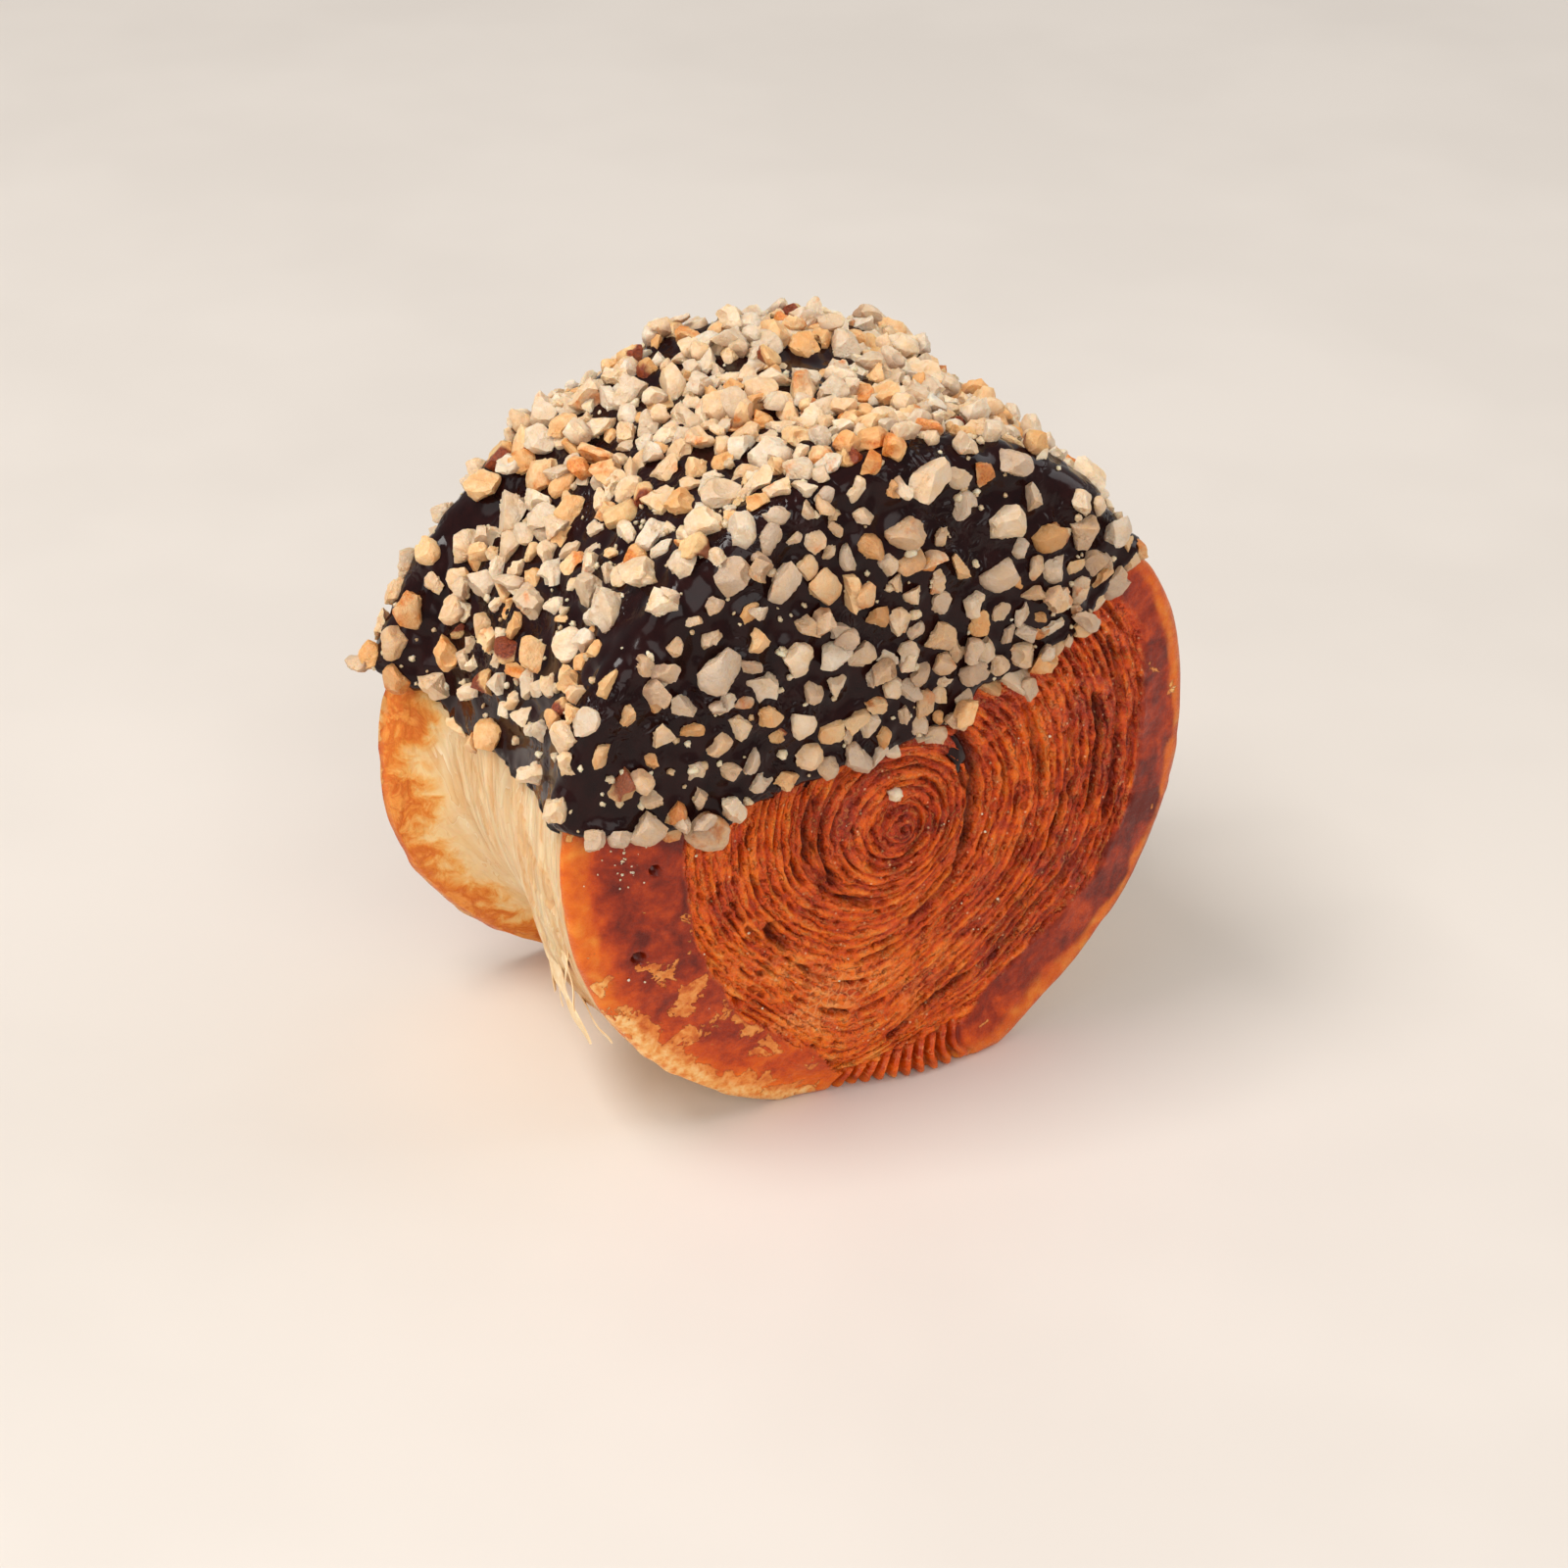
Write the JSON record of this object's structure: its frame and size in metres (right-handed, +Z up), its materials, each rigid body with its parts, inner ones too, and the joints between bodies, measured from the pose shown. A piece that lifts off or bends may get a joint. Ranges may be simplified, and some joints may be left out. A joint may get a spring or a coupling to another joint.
{
  "type": "croissant roll",
  "caption": "Thick round of wound flaky dough standing on its side, with an open spiral on both faces and its upper half coated in dark chocolate.",
  "frame": {"origin": "middle of the whole roll's box, at the height of the flat that it rests on", "axes": "+Z up; the roll's own axis lies along Y, and the face with the best seen spiral looks toward -Y"},
  "size_m": [0.1134, 0.0664, 0.108],
  "materials": {
    "dough": "baked flaky dough, reddish brown with a soft sheen on the faces and pale cream on the side wall",
    "chocolate": "set dark chocolate, smooth and glossy",
    "nuts": "chopped roasted nuts, cream to toasted brown, dull"
  },
  "bodies": {
    "root": {"dough_roll": "dough", "chocolate_coat": "chocolate"}
  },
  "joints": []
}
